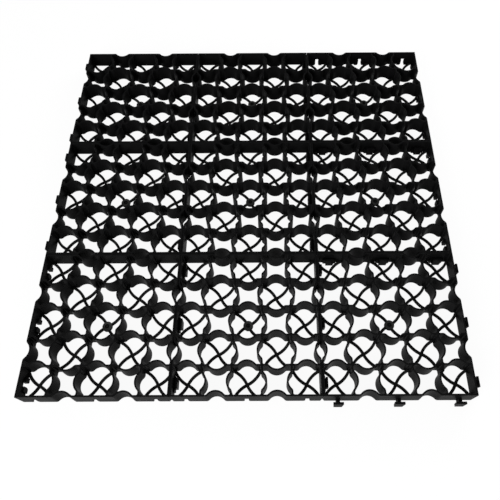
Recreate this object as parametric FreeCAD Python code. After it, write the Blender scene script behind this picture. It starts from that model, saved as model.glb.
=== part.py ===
import FreeCAD, Part
import math
import os

# Grass paver grid: nine moulded plastic tiles clipped three by three into one mat.
# The mat lies flat with its underside on z = 0 and its centre at the origin.
# The front is -Y and the right is +X.

# Driving dimensions, in millimetres
TILE_PITCH = 333.0        # from tile to tile, three tiles to the metre
TILE_GAP = 0.6            # joint between two clipped tiles
CELLS = 5                 # cells along a tile's side
HEIGHT = 50.0             # of the cell walls
WALL = 4.2                # thickness of the cell walls

# Arched walls between a round cell and a star cell
FLANK = 10.9              # straight wall beside each crossing
BULGE = 10.0              # rise of the arch towards the star cell
BLEND = 6.0               # radius that joins flank and arch
CELL_CORNER = 3.0         # rounding in the corners of the cells

# Curved arms on the floor of the round cells
ARM_WIDTH = 6.6
ARM_HEIGHT = 5.0
ARM_END_INSET = 4.8       # from the end of an arm to the middle of the crossing
ARM_TURN = 20.0           # degrees between the arm's end and its chord
HUB_RADIUS = 4.4

# Gate boss in the middle of each tile
BOSS_RADIUS = 11.6
BOSS_HEIGHT = 8.0
BOSS_RECESS_RADIUS = 5.0
BOSS_RECESS_DEPTH = 3.0

# T clips on two sides of a tile
CLIP_NECK_LENGTH = 8.4
CLIP_NECK_WIDTH = 8.0
CLIP_NECK_HEIGHT = 22.0
CLIP_HEAD_DEPTH = 5.0
CLIP_HEAD_HEIGHT = 30.0
CLIP_HEAD_TOP_WIDTH = 23.0
CLIP_HEAD_FOOT_WIDTH = 18.0

# Sockets on the other two sides
CLIP_PLAY = 0.5           # beside and behind a clip in its socket
SOCKET_HEIGHT = 24.0
SOCKET_MOUTH_WIDTH = 14.0 # at the underside
SOCKET_MOUTH_HEIGHT = 6.0
LUG_WIDTH = 11.5
LUG_HEIGHT = 22.0

# Slanted relief on the corners of a tile, full at the underside
CORNER_RELIEF = 4.0

# Round cells whose arms turn clockwise, by column and row from the front left.
# Two moulds made the tiles, and they differ in this alone.
CLOCKWISE_CELLS = {
    "first": [(0, 0), (2, 0), (1, 1), (4, 2), (3, 3), (4, 4)],
    "second": [(0, 0), (4, 0), (0, 4), (4, 4)],
}

# Place in the mat, mould and quarter turns of each tile
TILES = {
    "tile_front_left": (-1, -1, "first", 0),
    "tile_front_centre": (0, -1, "second", 0),
    "tile_front_right": (1, -1, "first", 3),
    "tile_middle_left": (-1, 0, "second", 1),
    "tile_middle_centre": (0, 0, "first", 1),
    "tile_middle_right": (1, 0, "first", 2),
    "tile_back_left": (-1, 1, "second", 1),
    "tile_back_centre": (0, 1, "second", 1),
    "tile_back_right": (1, 1, "first", 2),
}

# Values that follow from them
CELL_PITCH = TILE_PITCH / CELLS
HALF_TILE = (TILE_PITCH - TILE_GAP) / 2
ARCH_HALF_SPAN = CELL_PITCH / 2 - FLANK
ARCH_RADIUS = (ARCH_HALF_SPAN ** 2 + BULGE ** 2) / (2 * BULGE) - BLEND
ARM_REACH = CELL_PITCH * math.sqrt(0.5) - ARM_END_INSET
SOCKET_WIDTH = CLIP_NECK_WIDTH + 2 * CLIP_PLAY
LUG_REACH = CLIP_NECK_LENGTH - TILE_GAP - CLIP_PLAY
CLIPPED_CELLS = range(0, CELLS, 2)
UP = FreeCAD.Vector(0, 0, 1)


def vec(x, y, z=0.0):
    return FreeCAD.Vector(x, y, z)


def quarter_turned(point, turns):
    x, y = point
    for _ in range(turns):
        x, y = -y, x
    return x, y


def cell_centre(index):
    return (index - (CELLS - 1) / 2) * CELL_PITCH


def is_round(column, row):
    return (column + row) % 2 == 0


def arch_path(offset):
    """Points of an arched wall face along u, risen along v, offset from the wall's middle.

    They are the ends and middles of three arcs: blend, arch and blend.
    """
    blend_radius = BLEND - offset
    arch_radius = ARCH_RADIUS + offset
    centre_drop = ARCH_RADIUS - BULGE
    lean = math.atan2(ARCH_HALF_SPAN, BLEND + centre_drop)
    join_u = arch_radius * math.sin(lean)
    join_v = arch_radius * math.cos(lean) - centre_drop
    blend_u = ARCH_HALF_SPAN - blend_radius * math.sin(lean / 2)
    blend_v = BLEND - blend_radius * math.cos(lean / 2)
    rising = [(-ARCH_HALF_SPAN, offset), (-blend_u, blend_v), (-join_u, join_v)]
    top = [(0.0, BULGE + offset)]
    falling = [(join_u, join_v), (blend_u, blend_v), (ARCH_HALF_SPAN, offset)]
    return rising + top + falling


def path_edges(points):
    """Edges through tagged points: a straight line to each "line", an arc over each "mid"."""
    edges = []
    for index, (kind, point) in enumerate(points):
        start = points[index - 1][1]
        if kind == "line" and vec(*start).distanceToPoint(vec(*point)) > 1e-6:
            edges.append(Part.makeLine(vec(*start), vec(*point)))
        if kind == "end":
            before = points[index - 2][1]
            edges.append(Part.Arc(vec(*before), vec(*start), vec(*point)).toShape())
    return edges


def arch_points(place, offset):
    """Tagged points of one arched face, put in the plane by place(u, v)."""
    tags = ["line", "mid", "end", "mid", "end", "mid", "end"]
    return [(tag, place(u, v)) for tag, (u, v) in zip(tags, arch_path(offset))]


def cell_outline(column, row):
    """Closed wire round the opening of one cell, going counter-clockwise."""
    centre = (cell_centre(column), cell_centre(row))
    sense = 1 if is_round(column, row) else -1
    at_rim = [column == CELLS - 1, row == CELLS - 1, column == 0, row == 0]
    # Distance from the cell's centre to the middle of each wall's flank
    reach = []
    for side in range(4):
        outward = quarter_turned((1, 0), side)
        along = outward[0] * centre[0] + outward[1] * centre[1]
        reach.append(HALF_TILE - WALL / 2 - along if at_rim[side] else CELL_PITCH / 2)

    points = []
    for side in range(4):
        face = reach[side] - WALL / 2
        low_end = reach[side - 1] - WALL / 2
        high_end = reach[(side + 1) % 4] - WALL / 2

        def place(u, v, side=side, middle=reach[side]):
            x, y = quarter_turned((middle + sense * v, u), side)
            return centre[0] + x, centre[1] + y

        inner = -sense * WALL / 2
        points.append(("line", place(-low_end + CELL_CORNER, inner)))
        if not (at_rim[side] and sense == 1):
            points += arch_points(place, inner)
        points.append(("line", place(high_end - CELL_CORNER, inner)))
        # Rounded corner to the next side
        slack = CELL_CORNER * (1 - math.sqrt(0.5))
        corner_x, corner_y = quarter_turned((face - slack, high_end - slack), side)
        points.append(("mid", (centre[0] + corner_x, centre[1] + corner_y)))
        end_x, end_y = quarter_turned((face - CELL_CORNER, high_end), side)
        points.append(("end", (centre[0] + end_x, centre[1] + end_y)))
    return Part.Wire(path_edges(points))


def tile_outline():
    """Closed wire round the tile: straight at round cells, arched inwards at star cells."""
    points = []
    for side in range(4):
        for index in range(1, CELLS, 2):
            shift = cell_centre(index)

            def place(u, v, side=side, shift=shift):
                return quarter_turned((HALF_TILE - WALL / 2 - v, shift + u), side)

            points += arch_points(place, -WALL / 2)
        points.append(("line", quarter_turned((HALF_TILE, HALF_TILE), side)))
    return Part.Wire(path_edges(points))


def walls():
    outlines = [tile_outline()]
    outlines += [cell_outline(column, row) for column in range(CELLS) for row in range(CELLS)]
    plan = Part.makeFace(outlines, "Part::FaceMakerBullseye")
    return plan.extrude(UP * HEIGHT)


def arm(turn):
    """One floor arm from the origin along +X, bent by turn degrees at each end of its chord."""
    bend = math.radians(turn)
    radius = ARM_REACH / (2 * math.sin(abs(bend)))
    side = math.copysign(1.0, bend)
    middle = vec(ARM_REACH / 2, side * radius * math.cos(bend))

    def on_arc(distance, angle):
        return middle + vec(distance * math.sin(angle), -side * distance * math.cos(angle))

    inner, outer = radius - ARM_WIDTH / 2, radius + ARM_WIDTH / 2
    sweep = abs(bend)
    edges = [
        Part.Arc(on_arc(inner, -sweep), on_arc(inner, 0), on_arc(inner, sweep)).toShape(),
        Part.makeLine(on_arc(inner, sweep), on_arc(outer, sweep)),
        Part.Arc(on_arc(outer, sweep), on_arc(outer, 0), on_arc(outer, -sweep)).toShape(),
        Part.makeLine(on_arc(outer, -sweep), on_arc(inner, -sweep)),
    ]
    return Part.Face(Part.Wire(edges)).extrude(UP * ARM_HEIGHT)


def pinwheel(turn):
    """Four arms from the middle of a round cell to its four crossings."""
    hub = Part.makeCylinder(HUB_RADIUS, ARM_HEIGHT)
    arms = []
    for quarter in range(4):
        one = arm(turn)
        one.rotate(vec(0, 0), UP, 45 + 90 * quarter)
        arms.append(one)
    return hub.multiFuse(arms).removeSplitter()


def boss():
    disc = Part.makeCylinder(BOSS_RADIUS, BOSS_HEIGHT)
    rim = BOSS_HEIGHT - BOSS_RECESS_DEPTH
    recess = Part.makeCylinder(BOSS_RECESS_RADIUS, BOSS_RECESS_DEPTH, vec(0, 0, rim))
    return disc, recess


def clip(shift):
    """T clip on the +X side of a tile."""
    neck = Part.makeBox(
        WALL / 2 + CLIP_NECK_LENGTH, CLIP_NECK_WIDTH, CLIP_NECK_HEIGHT,
        vec(HALF_TILE - WALL / 2, shift - CLIP_NECK_WIDTH / 2),
    )
    head_back = HALF_TILE + CLIP_NECK_LENGTH
    top, foot = CLIP_HEAD_TOP_WIDTH / 2, CLIP_HEAD_FOOT_WIDTH / 2
    corners = [
        vec(head_back, shift - foot, 0), vec(head_back, shift + foot, 0),
        vec(head_back, shift + top, CLIP_HEAD_HEIGHT), vec(head_back, shift - top, CLIP_HEAD_HEIGHT),
    ]
    plate = Part.Face(Part.makePolygon(corners + corners[:1]))
    return neck.fuse(plate.extrude(vec(CLIP_HEAD_DEPTH, 0, 0)))


def lugs(shift):
    """Two blocks behind the wall of a socket, one each side of its slot, on the -X side."""
    blocks = []
    for low in (SOCKET_WIDTH / 2, -SOCKET_WIDTH / 2 - LUG_WIDTH):
        blocks.append(Part.makeBox(
            LUG_REACH - WALL / 2, LUG_WIDTH, LUG_HEIGHT, vec(-HALF_TILE + WALL / 2, shift + low),
        ))
    return blocks


def socket_slot(shift):
    """Slot through the wall and between the lugs, wider at the underside."""
    half, mouth = SOCKET_WIDTH / 2, SOCKET_MOUTH_WIDTH / 2
    profile = [
        (-mouth, 0), (mouth, 0), (half, SOCKET_MOUTH_HEIGHT), (half, SOCKET_HEIGHT),
        (-half, SOCKET_HEIGHT), (-half, SOCKET_MOUTH_HEIGHT),
    ]
    corners = [vec(-HALF_TILE - WALL, shift + across, up) for across, up in profile]
    return Part.Face(Part.makePolygon(corners + corners[:1])).extrude(vec(WALL + LUG_REACH, 0, 0))


def corner_relief(turns):
    """Slanted wedge off one corner of the tile, from the underside up to nothing at the top."""
    corner = vec(*quarter_turned((HALF_TILE, HALF_TILE), turns))
    foot_1 = vec(*quarter_turned((HALF_TILE - CORNER_RELIEF, HALF_TILE), turns))
    foot_2 = vec(*quarter_turned((HALF_TILE, HALF_TILE - CORNER_RELIEF), turns))
    tip = corner + UP * HEIGHT
    sides = [(corner, foot_1, foot_2), (corner, foot_1, tip), (corner, foot_2, tip), (foot_1, foot_2, tip)]
    faces = [Part.Face(Part.makePolygon([a, b, c, a])) for a, b, c in sides]
    return Part.makeSolid(Part.makeShell(faces))


def tile(clockwise_cells):
    """One moulded tile: clips on its +X and +Y sides, sockets on its -X and -Y sides."""
    left_swirl, right_swirl = pinwheel(ARM_TURN), pinwheel(-ARM_TURN)
    added, removed = [], []
    for column in range(CELLS):
        for row in range(CELLS):
            if is_round(column, row):
                swirl = (right_swirl if (column, row) in clockwise_cells else left_swirl).copy()
                swirl.translate(vec(cell_centre(column), cell_centre(row)))
                added.append(swirl)
    disc, recess = boss()
    added.append(disc)
    removed.append(recess)
    for index in CLIPPED_CELLS:
        shift = cell_centre(index)
        for turns in range(2):
            for piece in [clip(shift)] + lugs(shift):
                piece.rotate(vec(0, 0), UP, 90 * turns)
                added.append(piece)
            slot = socket_slot(shift)
            slot.rotate(vec(0, 0), UP, 90 * turns)
            removed.append(slot)
    removed += [corner_relief(turns) for turns in range(4)]
    return walls().multiFuse(added).cut(Part.makeCompound(removed)).removeSplitter()


os.makedirs("parts", exist_ok=True)
moulds = {name: tile(cells) for name, cells in CLOCKWISE_CELLS.items()}
for name, (across, back, mould, turns) in TILES.items():
    shape = moulds[mould].Solids[0].copy()
    shape.rotate(vec(0, 0), UP, 90 * turns)
    shape.translate(vec(across * TILE_PITCH, back * TILE_PITCH))
    shape.exportStep("parts/" + name + ".step")
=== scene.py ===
import math

import bpy
from mathutils import Matrix, Vector


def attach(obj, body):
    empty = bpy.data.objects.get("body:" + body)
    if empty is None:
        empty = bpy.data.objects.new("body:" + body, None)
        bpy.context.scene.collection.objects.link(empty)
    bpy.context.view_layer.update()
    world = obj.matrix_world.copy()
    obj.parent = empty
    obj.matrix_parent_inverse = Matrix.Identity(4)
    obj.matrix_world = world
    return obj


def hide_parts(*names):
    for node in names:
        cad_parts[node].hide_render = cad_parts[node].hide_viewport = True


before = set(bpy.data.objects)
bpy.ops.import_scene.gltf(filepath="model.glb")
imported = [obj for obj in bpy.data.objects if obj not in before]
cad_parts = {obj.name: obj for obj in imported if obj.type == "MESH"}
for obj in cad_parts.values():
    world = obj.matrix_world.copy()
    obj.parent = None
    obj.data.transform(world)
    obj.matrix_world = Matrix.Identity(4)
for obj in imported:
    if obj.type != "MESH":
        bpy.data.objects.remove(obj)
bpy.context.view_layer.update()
print("frame loaded:", len(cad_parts), "tiles")


class Flow:
    # one socket of a node tree; arithmetic on it adds Math nodes to that tree

    def __init__(self, tree, socket=None):
        self.tree = tree
        self.socket = socket

    def node(self, kind, settings=None, inputs=None, out=0):
        # a node of any type: its settings first, then the values or links of its sockets
        made = self.tree.nodes.new(kind)
        for name, value in (settings or {}).items():
            if name == "stops":
                self.setStops(made.color_ramp, value)
            else:
                setattr(made, name, value)
        for key, value in (inputs or {}).items():
            self.plug(made.inputs[key], value)
        return Flow(self.tree, made.outputs[out])

    def setStops(self, ramp, stops):
        while len(ramp.elements) < len(stops):
            ramp.elements.new(1.0)
        for element, (place, colour) in zip(ramp.elements, stops):
            element.position = place
            element.color = colour

    def plug(self, target, value):
        if isinstance(value, list):
            for single in value:
                self.plug(target, single)
        elif isinstance(value, Flow):
            self.tree.links.new(value.socket, target)
        else:
            target.default_value = value

    def maths(self, operation, *values):
        return self.node("ShaderNodeMath", {"operation": operation}, dict(enumerate(values)))

    def vector(self, x, y, z):
        return self.node("ShaderNodeCombineXYZ", {}, {"X": x, "Y": y, "Z": z})

    def axis(self, name):
        return self.node("ShaderNodeSeparateXYZ", {}, {"Vector": self}, out=name)

    def __add__(self, other):
        return self.maths("ADD", self, other)

    def __radd__(self, other):
        return self.maths("ADD", other, self)

    def __sub__(self, other):
        return self.maths("SUBTRACT", self, other)

    def __rsub__(self, other):
        return self.maths("SUBTRACT", other, self)

    def __mul__(self, other):
        return self.maths("MULTIPLY", self, other)

    def __rmul__(self, other):
        return self.maths("MULTIPLY", other, self)

    def __truediv__(self, other):
        return self.maths("DIVIDE", self, other)

    def __rtruediv__(self, other):
        return self.maths("DIVIDE", other, self)

    def __neg__(self):
        return self.maths("MULTIPLY", self, -1.0)

    def __lt__(self, other):
        return self.maths("LESS_THAN", self, other)

    def __gt__(self, other):
        return self.maths("GREATER_THAN", self, other)

    def __mod__(self, other):
        return self.maths("FLOORED_MODULO", self, other)

    def __rmod__(self, other):
        return self.maths("FLOORED_MODULO", other, self)

    def __floordiv__(self, other):
        return self.maths("FLOOR", self / other)

    def __rfloordiv__(self, other):
        return self.maths("FLOOR", other / self)


# moulded tile: a grid of round and star cells, sizes in metres

tile = {
    "cellPitch": 0.0666,
    "jointGap": 0.0006,
    "wallHeight": 0.050,
    "wallThickness": 0.0042,
    "flank": 0.0109,  # straight wall beside each crossing
    "bulge": 0.010,  # rise of the arched walls
    "blend": 0.006,  # radius of the bend from an arch into its flanks
    "cellCorner": 0.003,
    "rimRadius": 0.0008,
    "draft": 0.0002,  # the walls get this much thinner on each side towards the rim
    "armWidth": 0.0066,
    "armHeight": 0.005,
    "armEndInset": 0.0048,
    "armTurn": math.radians(20.0),
    "armEdge": 0.0007,
    "hubRadius": 0.0044,
    "bossRadius": 0.0116,
    "bossHeight": 0.008,
    "bossRecessRadius": 0.005,
    "bossRecessDepth": 0.003,
    "pipTopRadius": 0.0008,
    "pipFootRadius": 0.0013,
    "pipHeight": 0.0024,
    "neckLength": 0.0084,
    "neckWidth": 0.008,
    "neckHeight": 0.022,
    "headDepth": 0.005,
    "headHeight": 0.030,
    "headTopWidth": 0.023,
    "headFootWidth": 0.018,
    "clipPlay": 0.0005,
    "socketHeight": 0.024,
    "mouthWidth": 0.014,
    "mouthHeight": 0.006,
    "lugWidth": 0.0115,
    "lugHeight": 0.022,
    "cornerRelief": 0.004,
}
cellsAlong = 5
archSamples = 27  # points on each arched wall
clipsAlong = 3  # clips or sockets on a side
armSamples = 33  # points on each stroke of two arms
bossSides = 40
hubSides = 24
pipSides = 16
weldDistance = 0.00001
smoothAngle = math.radians(40.0)  # sharper edges than this stay sharp

# round cells whose arms turn clockwise in the two moulds, by column and row
moulds = {
    "first": [(0, 0), (2, 0), (1, 1), (4, 2), (3, 3), (4, 4)],
    "second": [(0, 0), (4, 0), (0, 4), (4, 4)],
}

# place in the mat, mould and quarter turns
layout = {
    "tile_front_left": (-1, -1, "first", 0),
    "tile_front_centre": (0, -1, "second", 0),
    "tile_front_right": (1, -1, "first", 3),
    "tile_middle_left": (-1, 0, "second", 1),
    "tile_middle_centre": (0, 0, "first", 1),
    "tile_middle_right": (1, 0, "first", 2),
    "tile_back_left": (-1, 1, "second", 1),
    "tile_back_centre": (0, 1, "second", 1),
    "tile_back_right": (1, 1, "first", 2),
}


def archHalfSpan(size):
    return size["cellPitch"] * 0.5 - size["flank"]


def tileHalf(size):
    # from the middle of a tile to its outer face
    return (cellsAlong * size["cellPitch"] - size["jointGap"]) * 0.5


def archRise(flow, size, along, offset):
    # height of an arched wall's face over the wall's line, at a distance from the arch's middle
    halfSpan = archHalfSpan(size)
    bulge = size["bulge"]
    radius = (halfSpan * halfSpan + bulge * bulge) / (2.0 * bulge) - size["blend"]
    drop = radius - bulge
    lean = flow.maths("ARCTAN2", halfSpan, size["blend"] + drop)
    outer = radius + offset
    inner = size["blend"] - offset
    fromEnd = halfSpan - along
    crown = flow.maths("SQRT", flow.maths("MAXIMUM", outer * outer - along * along, 0.0)) - drop
    footSquare = flow.maths("MAXIMUM", inner * inner - fromEnd * fromEnd, 0.0)
    foot = size["blend"] - flow.maths("SQRT", footSquare)
    onCrown = along < outer * flow.maths("SINE", lean)
    onFoot = along < halfSpan
    return onCrown * crown + (1.0 - onCrown) * (onFoot * foot + (1.0 - onFoot) * offset)


def turnedPlace(flow, side, outward, along):
    # a point of one side of a square, turned to that side
    angle = side * (math.pi / 2)
    cosine = flow.maths("COSINE", angle)
    sine = flow.maths("SINE", angle)
    return cosine * outward - sine * along, sine * outward + cosine * along


def cellOutlines(flow, size):
    # closed curves round all the cells: each side is a corner point and an arch
    perSide = archSamples + 1
    middle = (cellsAlong - 1) / 2
    ring = flow.node("GeometryNodeCurvePrimitiveCircle", {}, {"Resolution": 4 * perSide, "Radius": 1.0})
    rings = flow.node("GeometryNodeDuplicateElements", {"domain": "SPLINE"},
                      {"Geometry": ring, "Amount": cellsAlong ** 2})
    cell = flow.node("GeometryNodeCurveOfPoint", out="Curve Index")
    point = flow.node("GeometryNodeCurveOfPoint", out="Index in Curve")
    column = cell % cellsAlong - middle
    row = cell // cellsAlong - middle
    sense = 1.0 - 2.0 * ((column + row) % 2.0)  # round cells bulge outwards, star cells inwards
    side = point // perSide
    step = point % perSide
    cosine = flow.maths("COSINE", side * (math.pi / 2))
    sine = flow.maths("SINE", side * (math.pi / 2))
    atRim = column * cosine + row * sine > middle - 0.5
    lastAtRim = column * sine - row * cosine > middle - 0.5
    inset = (size["jointGap"] + size["wallThickness"]) * 0.5
    reach = size["cellPitch"] * 0.5 - atRim * inset
    lowEnd = size["cellPitch"] * 0.5 - lastAtRim * inset - size["wallThickness"] * 0.5
    isCorner = step < 0.5
    fromMiddle = archHalfSpan(size) * ((step - 1.0) * (2.0 / (archSamples - 1)) - 1.0)
    along = (1.0 - isCorner) * fromMiddle - isCorner * lowEnd
    offset = sense * size["wallThickness"] * -0.5
    straight = atRim * (sense > 0.0)
    rise = archRise(flow, size, flow.maths("ABSOLUTE", along), offset)
    rise = offset + (1.0 - straight) * (rise - offset)
    x, y = turnedPlace(flow, side, reach + sense * rise, along)
    place = flow.vector(column * size["cellPitch"] + x, row * size["cellPitch"] + y, 0.0)
    shaped = flow.node("GeometryNodeSetPosition", {}, {"Geometry": rings, "Position": place})
    rounding = isCorner * size["cellCorner"]
    return flow.node("GeometryNodeFilletCurve", {"mode": "POLY"},
                     {"Curve": shaped, "Count": 4, "Radius": rounding, "Limit Radius": True})


def tileOutline(flow, size):
    # closed curve round the tile, arched inwards beside the star cells
    perSide = 2 * archSamples + 1
    half = tileHalf(size)
    ring = flow.node("GeometryNodeCurvePrimitiveCircle", {}, {"Resolution": 4 * perSide, "Radius": 1.0})
    point = flow.node("GeometryNodeInputIndex")
    side = point // perSide
    step = point % perSide
    isCorner = step < 0.5
    second = step > archSamples + 0.5
    archStep = step - 1.0 - second * archSamples
    fromMiddle = archHalfSpan(size) * (archStep * (2.0 / (archSamples - 1)) - 1.0)
    offset = size["wallThickness"] * -0.5
    rise = archRise(flow, size, flow.maths("ABSOLUTE", fromMiddle), offset)
    outward = half + offset - (1.0 - isCorner) * rise - isCorner * offset
    archMiddle = (2.0 * second - 1.0) * size["cellPitch"]
    along = (1.0 - isCorner) * (archMiddle + fromMiddle) - isCorner * half
    x, y = turnedPlace(flow, side, outward, along)
    shaped = flow.node("GeometryNodeSetPosition", {},
                       {"Geometry": ring, "Position": flow.vector(x, y, 0.0)})
    return flow.node("GeometryNodeReverseCurve", {}, {"Curve": shaped})


def sweep(flow, path, profile):
    upright = flow.node("GeometryNodeSetCurveNormal", {"mode": "Z_UP"}, {"Curve": path})
    return flow.node("GeometryNodeCurveToMesh", {},
                     {"Curve": upright, "Profile Curve": profile, "Fill Caps": True})


def moved(flow, geometry, x=0.0, y=0.0, z=0.0, turn=0.0, tilt=0.0):
    shift = flow.vector(x, y, z)
    rotation = flow.vector(0.0, tilt, turn)
    return flow.node("GeometryNodeTransform", {},
                     {"Geometry": geometry, "Translation": shift, "Rotation": rotation})


def joined(flow, *pieces):
    return flow.node("GeometryNodeJoinGeometry", {}, {"Geometry": list(pieces)})


def levelFill(flow, walls, isEdge, height):
    # flat face between the open ends of the walls at one level
    rims = flow.node("GeometryNodeMeshToCurve", {}, {"Mesh": walls, "Selection": isEdge})
    flat = flow.node("GeometryNodeFillCurve", {"mode": "TRIANGLES"}, {"Curve": rims})
    place = flow.node("GeometryNodeInputPosition")
    level = flow.vector(place.axis("X"), place.axis("Y"), height)
    return flow.node("GeometryNodeSetPosition", {}, {"Geometry": flat, "Position": level})


def cellWalls(flow, size):
    # walls of all the cells: a profile up the drafted side and round the rim, swept and closed
    lipShare = 1.2  # the lip ends a little past the rim's rounding
    line = flow.node("GeometryNodeCurvePrimitiveLine", {},
                     {"Start": (0.0, 0.0, 0.0), "End": (0.0, 1.0, 0.0)})
    line = flow.node("GeometryNodeResampleCurve", {}, {"Curve": line, "Count": 3})
    index = flow.node("GeometryNodeInputIndex")
    risen = flow.maths("MINIMUM", index, 1.0)
    lip = flow.maths("MAXIMUM", index - 1.0, 0.0)
    inwards = risen * size["draft"] + lip * size["rimRadius"] * lipShare
    place = flow.vector(inwards, -risen * size["wallHeight"], 0.0)
    line = flow.node("GeometryNodeSetPosition", {}, {"Geometry": line, "Position": place})
    profile = flow.node("GeometryNodeFilletCurve", {"mode": "POLY"},
                        {"Curve": line, "Count": 3, "Radius": size["rimRadius"], "Limit Radius": True})
    sides = sweep(flow, joined(flow, cellOutlines(flow, size), tileOutline(flow, size)), profile)
    isOpen = flow.node("GeometryNodeInputMeshEdgeNeighbors") < 1.5
    isHigh = flow.node("GeometryNodeInputPosition").axis("Z") > size["wallHeight"] * 0.5
    rim = levelFill(flow, sides, isOpen * isHigh, size["wallHeight"])
    base = levelFill(flow, sides, isOpen * (1.0 - isHigh), 0.0)
    base = flow.node("GeometryNodeFlipFaces", {}, {"Mesh": base})
    closed = joined(flow, sides, rim, base)
    return flow.node("GeometryNodeMergeByDistance", {}, {"Geometry": closed, "Distance": weldDistance})


def bar(flow, start, end, foot, top, height, edge):
    # straight bar along x that stands on the ground; a swept profile's y points down
    section = flow.node("GeometryNodeCurvePrimitiveQuadrilateral", {"mode": "TRAPEZOID"},
                        {"Height": height, "Bottom Width": top, "Top Width": foot, "Offset": 0.0})
    section = flow.node("GeometryNodeFilletCurve", {"mode": "POLY"},
                        {"Curve": section, "Count": 2, "Radius": edge})
    path = flow.node("GeometryNodeCurvePrimitiveLine", {},
                     {"Start": flow.vector(start, 0.0, 0.0), "End": flow.vector(end, 0.0, 0.0)})
    return sweep(flow, path, moved(flow, section, y=height * -0.5))


def sideRow(flow, size, piece):
    # a piece at every second cell of one side, and again on the next side
    along = 2.0 * size["cellPitch"]
    first = flow.vector(0.0, -along, 0.0)
    step = flow.vector(0.0, along, 0.0)
    points = flow.node("GeometryNodeMeshLine", {},
                       {"Count": clipsAlong, "Start Location": first, "Offset": step})
    row = flow.node("GeometryNodeInstanceOnPoints", {}, {"Points": points, "Instance": piece})
    both = joined(flow, row, moved(flow, row, turn=math.pi / 2))
    return flow.node("GeometryNodeRealizeInstances", {}, {"Geometry": both})


def floorArms(flow, size, turnSign):
    # two arms in one stroke through the middle of a round cell, bent at both ends
    reach = size["cellPitch"] * math.sqrt(0.5) - size["armEndInset"]
    radius = reach / (2.0 * flow.maths("SINE", size["armTurn"]))
    line = flow.node("GeometryNodeCurvePrimitiveLine", {},
                     {"Start": (-1.0, 0.0, 0.0), "End": (1.0, 0.0, 0.0)})
    line = flow.node("GeometryNodeResampleCurve", {}, {"Curve": line, "Count": armSamples})
    along = flow.node("GeometryNodeInputPosition").axis("X") * reach
    fromMiddle = flow.maths("ABSOLUTE", along) - reach * 0.5
    chord = radius * flow.maths("COSINE", size["armTurn"])
    bow = flow.maths("SQRT", radius * radius - fromMiddle * fromMiddle) - chord
    across = flow.maths("SIGN", along) * bow * -turnSign
    path = flow.node("GeometryNodeSetPosition", {},
                     {"Geometry": line, "Position": flow.vector(along, across, 0.0)})
    section = flow.node("GeometryNodeCurvePrimitiveQuadrilateral", {},
                        {"Width": size["armWidth"], "Height": size["armHeight"]})
    section = flow.node("GeometryNodeFilletCurve", {"mode": "POLY"},
                        {"Curve": section, "Count": 2, "Radius": size["armEdge"]})
    return sweep(flow, path, moved(flow, section, y=size["armHeight"] * -0.5))


def cellFloors(flow, size):
    # strokes and hubs of the round cells, one geometry for each so that none overlaps itself
    strokes = []
    clockwise = flow.node("GeometryNodeInputNamedAttribute", {"data_type": "FLOAT"},
                          {"Name": "clockwise"})
    for turnSign, chosen in ((1.0, clockwise < 0.5), (-1.0, clockwise > 0.5)):
        for turn in (math.pi / 4, 3 * math.pi / 4):
            stroke = moved(flow, floorArms(flow, size, turnSign), turn=turn)
            sockets = {"Points": size["Geometry"], "Instance": stroke, "Selection": chosen}
            strokes.append(flow.node("GeometryNodeInstanceOnPoints", {}, sockets))
    disc = flow.node("GeometryNodeMeshCylinder", {},
                     {"Vertices": hubSides, "Radius": size["hubRadius"], "Depth": size["armHeight"]})
    hub = moved(flow, disc, z=size["armHeight"] * 0.5)
    strokes.append(flow.node("GeometryNodeInstanceOnPoints", {},
                             {"Points": size["Geometry"], "Instance": hub}))
    return [flow.node("GeometryNodeRealizeInstances", {}, {"Geometry": stroke}) for stroke in strokes]


def gateBoss(flow, size):
    # disc with a recess in the middle cell, where the plastic came in
    width = size["bossRadius"] - size["bossRecessRadius"]
    path = flow.node("GeometryNodeCurvePrimitiveCircle", {},
                     {"Resolution": bossSides, "Radius": size["bossRecessRadius"] + width * 0.5})
    section = flow.node("GeometryNodeCurvePrimitiveQuadrilateral", {},
                        {"Width": width, "Height": size["bossHeight"]})
    section = flow.node("GeometryNodeFilletCurve", {"mode": "POLY"},
                        {"Curve": section, "Count": 2, "Radius": size["rimRadius"]})
    ring = sweep(flow, path, moved(flow, section, y=size["bossHeight"] * -0.5))
    depth = size["bossHeight"] - size["bossRecessDepth"]
    discRadius = size["bossRecessRadius"] + width * 0.3  # its edge is hidden in the ring
    disc = flow.node("GeometryNodeMeshCylinder", {},
                     {"Vertices": bossSides, "Radius": discRadius, "Depth": depth})
    pip = flow.node("GeometryNodeMeshCone", {},
                    {"Vertices": pipSides, "Radius Top": size["pipTopRadius"],
                     "Radius Bottom": size["pipFootRadius"], "Depth": size["pipHeight"]})
    return [ring, moved(flow, disc, z=depth * 0.5), moved(flow, pip, z=depth)]


def clipsAndLugs(flow, size):
    # T clips on the right and back of a tile, lugs behind the sockets on its left and front
    half = tileHalf(size)
    wallMiddle = half - size["wallThickness"] * 0.5
    headStart = half + size["neckLength"]
    neck = bar(flow, wallMiddle, headStart + size["headDepth"] * 0.5,
               size["neckWidth"], size["neckWidth"], size["neckHeight"], size["rimRadius"])
    head = bar(flow, headStart, headStart + size["headDepth"],
               size["headFootWidth"], size["headTopWidth"], size["headHeight"], size["rimRadius"])
    lugEnd = size["neckLength"] - size["jointGap"] - size["clipPlay"] - half
    lug = bar(flow, -wallMiddle, lugEnd,
              size["lugWidth"], size["lugWidth"], size["lugHeight"], size["rimRadius"])
    aside = size["neckWidth"] * 0.5 + size["clipPlay"] + size["lugWidth"] * 0.5
    pieces = [neck, head, moved(flow, lug, y=aside), moved(flow, lug, y=-aside)]
    return [sideRow(flow, size, piece) for piece in pieces]


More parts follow.
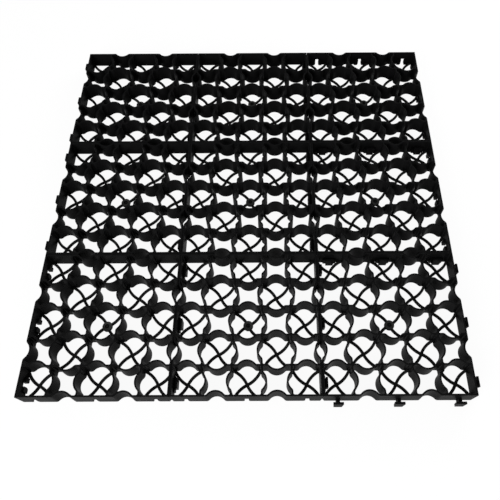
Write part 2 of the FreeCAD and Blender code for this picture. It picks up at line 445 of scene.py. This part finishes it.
def socketCuts(flow, size):
    # slots with a flared mouth, and the slanted relief on the four corners
    half = tileHalf(size)
    below = 0.001  # the cutters start this far under the tile
    blockSize = (0.02, 0.03, 0.12)  # cutter of a corner, larger than what it takes off
    start = -half - size["wallThickness"]
    end = size["neckLength"] - half
    width = size["neckWidth"] + 2.0 * size["clipPlay"]
    flare = (size["mouthWidth"] - width) / size["mouthHeight"]
    slot = bar(flow, start, end, width, width, size["socketHeight"] + below, 0.0)
    mouth = bar(flow, start, end,
                size["mouthWidth"] + flare * below, width, size["mouthHeight"] + below, 0.0)
    tilt = flow.maths("ARCTAN2", size["cornerRelief"] * math.sqrt(0.5), size["wallHeight"])
    block = flow.node("GeometryNodeMeshCube", {}, {"Size": blockSize})
    block = moved(flow, block, x=blockSize[0] / 2)
    block = moved(flow, block, x=half * math.sqrt(2.0), z=size["wallHeight"], tilt=tilt)
    corners = [moved(flow, block, turn=math.pi / 4 + quarter * math.pi / 2) for quarter in range(4)]
    slots = [sideRow(flow, size, moved(flow, cut, z=-below)) for cut in (slot, mouth)]
    return slots + [joined(flow, *corners)]


def mouldTree(material):
    tree = bpy.data.node_groups.new("mouldedTile", "GeometryNodeTree")
    tree.interface.new_socket("Geometry", in_out="INPUT", socket_type="NodeSocketGeometry")
    tree.interface.new_socket("Geometry", in_out="OUTPUT", socket_type="NodeSocketGeometry")
    for label in tile:
        tree.interface.new_socket(label, in_out="INPUT", socket_type="NodeSocketFloat")
    source = tree.nodes.new("NodeGroupInput")
    size = {label: Flow(tree, source.outputs[label]) for label in ["Geometry", *tile]}
    flow = Flow(tree)
    solids = [cellWalls(flow, size)] + cellFloors(flow, size)
    solids += gateBoss(flow, size) + clipsAndLugs(flow, size)
    whole = flow.node("GeometryNodeMeshBoolean", {"operation": "UNION", "solver": "MANIFOLD"},
                      {"Mesh 2": solids})
    cut = flow.node("GeometryNodeMeshBoolean", {"operation": "DIFFERENCE", "solver": "MANIFOLD"},
                    {"Mesh 1": whole, "Mesh 2": socketCuts(flow, size)})
    real = flow.node("GeometryNodeRealizeInstances", {}, {"Geometry": cut})
    # painted light: the share of pale grey painted on the low upward tops, stored on the faces
    paintedLit = flow.node("GeometryNodeStoreNamedAttribute", {"data_type": "FLOAT", "domain": "FACE"},
                       {"Geometry": real, "Name": "dust", "Value": paintedLightShare(flow)})
    finished = flow.node("GeometryNodeSetMaterial", {}, {"Geometry": paintedLit, "Material": material})
    flow.plug(tree.nodes.new("NodeGroupOutput").inputs[0], finished)
    return tree


def mouldMesh(name, tree, material):
    # the round cells are the points that the tree puts arms on
    middle = (cellsAlong - 1) / 2
    pitch = tile["cellPitch"]
    every = range(cellsAlong)
    cells = [(column, row) for column in every for row in every if (column + row) % 2 == 0]
    points = [((column - middle) * pitch, (row - middle) * pitch, 0.0) for column, row in cells]
    base = bpy.data.meshes.new(name)
    base.from_pydata(points, [], [])
    clockwise = base.attributes.new("clockwise", "FLOAT", "POINT")
    clockwise.data.foreach_set("value", [float(cell in moulds[name]) for cell in cells])
    holder = bpy.data.objects.new(name, base)
    bpy.context.collection.objects.link(holder)
    modifier = holder.modifiers.new("tile", "NODES")
    modifier.node_group = tree
    for item in tree.interface.items_tree:
        if item.in_out == "INPUT" and item.name in tile:
            modifier[item.identifier] = tile[item.name]
    evaluated = holder.evaluated_get(bpy.context.evaluated_depsgraph_get())
    mesh = bpy.data.meshes.new_from_object(evaluated)
    mesh.materials.clear()
    mesh.materials.append(material)
    bpy.data.objects.remove(holder)
    return mesh


# black polyethylene, semi-matt from the mould

plastic = {
    "deep": (0.0030, 0.0030, 0.0031, 1.0),
    "pale": (0.0065, 0.0065, 0.0067, 1.0),
    "scuffed": (0.0100, 0.0100, 0.0098, 1.0),
    "roughness": 0.38,
    "sheen": 0.014,  # share of a plain plastic surface's mirror shine
    "cloudsPerMetre": 17.0,
    "grainPerMetre": 1100.0,
    "grainDepth": 0.00005,
    "grainStrength": 0.7,
    "cloudRoughness": 0.24,  # how far the roughness varies with the clouds
    "scuffsPerMetre": 130.0,
    "scuffFrom": 0.0485,  # height over the ground where the rims begin to be scuffed
    "scuffStart": 0.52,  # noise level where a scuff begins
    "scuffFull": 0.70,  # noise level where it is full
    "scuffStrength": 0.6,
    "scuffRoughness": 0.25,  # added where the scuffs are
    # pale grey painted on the low upward tops to stand for the light that falls on them
    "paintedLitTone": (0.070, 0.070, 0.068, 1.0),
    "paintedLightFrom": 0.004,  # height where the painted light begins on a flat top
    "paintedLightFull": 0.008,  # height where it is full
    "paintedLightEnd": 0.010,  # no painted light over this height
    "paintedLightFacing": 0.7,  # how far upwards a face with painted light looks, 1 for a level one
}


def paintedLightShare(flow):
    # painted light on the flat tops down in the cells, lighter on higher tops: a little on the arms,
    # more on the higher boss
    height = flow.node("GeometryNodeInputPosition").axis("Z")
    share = flow.node("ShaderNodeMapRange", {"clamp": True},
                      {"Value": height, "From Min": plastic["paintedLightFrom"],
                       "From Max": plastic["paintedLightFull"]})
    upwards = flow.node("GeometryNodeInputNormal").axis("Z") > plastic["paintedLightFacing"]
    return share * upwards * (height < plastic["paintedLightEnd"])


def blackPlastic():
    material = bpy.data.materials.new("blackPlastic")
    material.use_nodes = True
    tree = material.node_tree
    shader = tree.nodes["Principled BSDF"]
    flow = Flow(tree)
    place = flow.node("ShaderNodeTexCoord", out="Object")
    clouds = flow.node("ShaderNodeTexNoise", {},
                       {"Vector": place, "Scale": plastic["cloudsPerMetre"],
                        "Detail": 4.0, "Roughness": 0.6})
    grain = flow.node("ShaderNodeTexNoise", {},
                      {"Vector": place, "Scale": plastic["grainPerMetre"], "Detail": 2.0})
    scrapes = flow.node("ShaderNodeTexNoise", {},
                        {"Vector": place, "Scale": plastic["scuffsPerMetre"],
                         "Detail": 5.0, "Roughness": 0.7})
    stops = [(plastic["scuffStart"], (0, 0, 0, 1)), (plastic["scuffFull"], (1, 1, 1, 1))]
    patches = flow.node("ShaderNodeValToRGB", {"stops": stops}, {"Fac": scrapes})
    onRim = flow.node("ShaderNodeMapRange", {"clamp": True},
                      {"Value": place.axis("Z"), "From Min": plastic["scuffFrom"],
                       "From Max": tile["wallHeight"]})
    scuffs = onRim * patches * plastic["scuffStrength"]
    tone = flow.node("ShaderNodeMix", {"data_type": "RGBA"},
                     {"Factor": clouds, "A": plastic["deep"], "B": plastic["pale"]}, out=2)
    tone = flow.node("ShaderNodeMix", {"data_type": "RGBA"},
                     {"Factor": scuffs, "A": tone, "B": plastic["scuffed"]}, out=2)
    # painted light: the low upward tops turn pale grey, lighter where higher, to stand for the light
    # falling on them
    dust = flow.node("ShaderNodeAttribute", {"attribute_name": "dust"}, out="Fac")
    tone = flow.node("ShaderNodeMix", {"data_type": "RGBA"},
                     {"Factor": dust, "A": tone, "B": plastic["paintedLitTone"]}, out=2)
    flow.plug(shader.inputs["Base Color"], tone)
    roughness = plastic["roughness"] + (clouds - 0.5) * plastic["cloudRoughness"]
    flow.plug(shader.inputs["Roughness"], roughness + scuffs * plastic["scuffRoughness"])
    bump = flow.node("ShaderNodeBump", {},
                     {"Height": grain, "Distance": plastic["grainDepth"],
                      "Strength": plastic["grainStrength"]})
    flow.plug(shader.inputs["Normal"], bump)
    shader.inputs["IOR"].default_value = 1.5
    shader.inputs["Specular IOR Level"].default_value = plastic["sheen"] * 0.5
    return material


def smoothShaded(mesh):
    # smooth over the small rim and arm edges, with the large flat faces kept flat
    mesh.polygons.foreach_set("use_smooth", [True] * len(mesh.polygons))
    mesh.set_sharp_from_angle(angle=smoothAngle)
    holder = bpy.data.objects.new("shaded", mesh)
    bpy.context.collection.objects.link(holder)
    weighted = holder.modifiers.new("weighted", "WEIGHTED_NORMAL")
    weighted.keep_sharp = True
    evaluated = holder.evaluated_get(bpy.context.evaluated_depsgraph_get())
    shaded = bpy.data.meshes.new_from_object(evaluated)
    bpy.data.objects.remove(holder)
    return shaded


def laidTile(node, mesh, across, back, turns):
    # its place goes into the mesh, and the object stays at the origin
    pitch = cellsAlong * tile["cellPitch"]
    laid = mesh.copy()
    turned = Matrix.Rotation(turns * math.pi / 2, 4, "Z")
    laid.transform(Matrix.Translation((across * pitch, back * pitch, 0.0)) @ turned)
    piece = bpy.data.objects.new(node + "_moulding", laid)
    bpy.context.collection.objects.link(piece)
    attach(piece, "root")
    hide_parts(node)


tileMaterial = blackPlastic()
tileTree = mouldTree(tileMaterial)
mouldMeshes = {name: smoothShaded(mouldMesh(name, tileTree, tileMaterial)) for name in moulds}
for node, (across, back, mould, turns) in layout.items():
    laidTile(node, mouldMeshes[mould], across, back, turns)
print("tiles laid:", len(layout), "with", len(mouldMeshes["first"].polygons), "faces each")


# white studio floor, light and camera

studio = {
    "floorSize": 12.0,
    "floorDrop": 0.0002,  # clear of the tiles' undersides
    "floorColour": (0.92, 0.92, 0.92, 1.0),
    "floorRoughness": 0.9,
    "floorGlow": 0.94,  # share of plain white in the floor, seen directly or in reflections
    "worldStrength": 0.45,
    "lampSize": 2.0,
    "lamps": {  # power and place of each lamp
        "frontLamp": (105.0, (-1.5, -2.4, 1.6)),
        "rearLamp": (110.0, (1.8, 2.4, 0.9)),
    },
}


def seesWhite(flow):
    # 1 for rays from the camera, in reflections and through glass, 0 for rays that only carry light
    seen = flow.node("ShaderNodeLightPath", out="Is Camera Ray")
    mirrored = flow.node("ShaderNodeLightPath", out="Is Glossy Ray")
    through = flow.node("ShaderNodeLightPath", out="Is Transmission Ray")
    return flow.maths("MINIMUM", seen + mirrored + through, 1.0)


def whiteFloor():
    half = studio["floorSize"] / 2
    level = -studio["floorDrop"]
    mesh = bpy.data.meshes.new("floor")
    corners = [(x, y, level) for x, y in ((-half, -half), (half, -half), (half, half), (-half, half))]
    mesh.from_pydata(corners, [], [(0, 1, 2, 3)])
    floor = bpy.data.objects.new("floor", mesh)
    bpy.context.collection.objects.link(floor)
    material = bpy.data.materials.new("whiteFloor")
    material.use_nodes = True
    tree = material.node_tree
    flow = Flow(tree)
    shader = tree.nodes["Principled BSDF"]
    shader.inputs["Base Color"].default_value = studio["floorColour"]
    shader.inputs["Roughness"].default_value = studio["floorRoughness"]
    shader.inputs["Specular IOR Level"].default_value = 0.0
    glow = flow.node("ShaderNodeEmission", {}, {"Strength": 1.0})
    share = seesWhite(flow) * studio["floorGlow"]
    matt = Flow(tree, shader.outputs[0])
    mixed = flow.node("ShaderNodeMixShader", {}, {0: share, 1: matt, 2: glow})
    flow.plug(tree.nodes["Material Output"].inputs["Surface"], mixed)
    mesh.materials.append(material)


def studioLight():
    world = bpy.data.worlds.new("studio")
    bpy.context.scene.world = world
    world.use_nodes = True
    background = world.node_tree.nodes["Background"]
    background.inputs["Color"].default_value = (1.0, 1.0, 1.0, 1.0)
    flow = Flow(world.node_tree)
    plain = studio["worldStrength"]
    flow.plug(background.inputs["Strength"], plain + seesWhite(flow) * (1.0 - plain))
    for name, (power, place) in studio["lamps"].items():
        lamp = bpy.data.lights.new(name, "AREA")
        lamp.energy = power
        lamp.size = studio["lampSize"]
        holder = bpy.data.objects.new(name, lamp)
        bpy.context.collection.objects.link(holder)
        holder.location = place
        holder.rotation_euler = (-holder.location).to_track_quat("-Z", "Y").to_euler()


camera = {
    "target": (0.0529, 0.1315, 0.0),
    "azimuth": 0.301,  # angles in degrees
    "elevation": 57.131,
    "roll": -0.572,
    "distance": 1.6322,
    "focalPixels": 581.9,
    "imagePixels": 500.0,
    "centrePixel": (270.0, 162.0),  # where the optical axis meets the picture
    "sensor": 36.0,
}


def photoCamera():
    turn = math.radians(camera["azimuth"])
    tilt = math.radians(camera["elevation"])
    level = math.cos(tilt)
    back = Vector((math.sin(turn) * level, -math.cos(turn) * level, math.sin(tilt)))
    data = bpy.data.cameras.new("camera")
    data.sensor_width = camera["sensor"]
    data.lens = camera["sensor"] * camera["focalPixels"] / camera["imagePixels"]
    half = camera["imagePixels"] / 2
    data.shift_x = (half - camera["centrePixel"][0]) / camera["imagePixels"]
    data.shift_y = (camera["centrePixel"][1] - half) / camera["imagePixels"]
    view = bpy.data.objects.new("camera", data)
    bpy.context.collection.objects.link(view)
    view.location = Vector(camera["target"]) + back * camera["distance"]
    facing = (-back).to_track_quat("-Z", "Y").to_matrix()
    roll = Matrix.Rotation(math.radians(camera["roll"]), 3, "Z")
    view.rotation_euler = (facing @ roll).to_euler()
    bpy.context.scene.camera = view


whiteFloor()
studioLight()
photoCamera()
bpy.context.scene.view_settings.view_transform = "Standard"
print("studio ready")
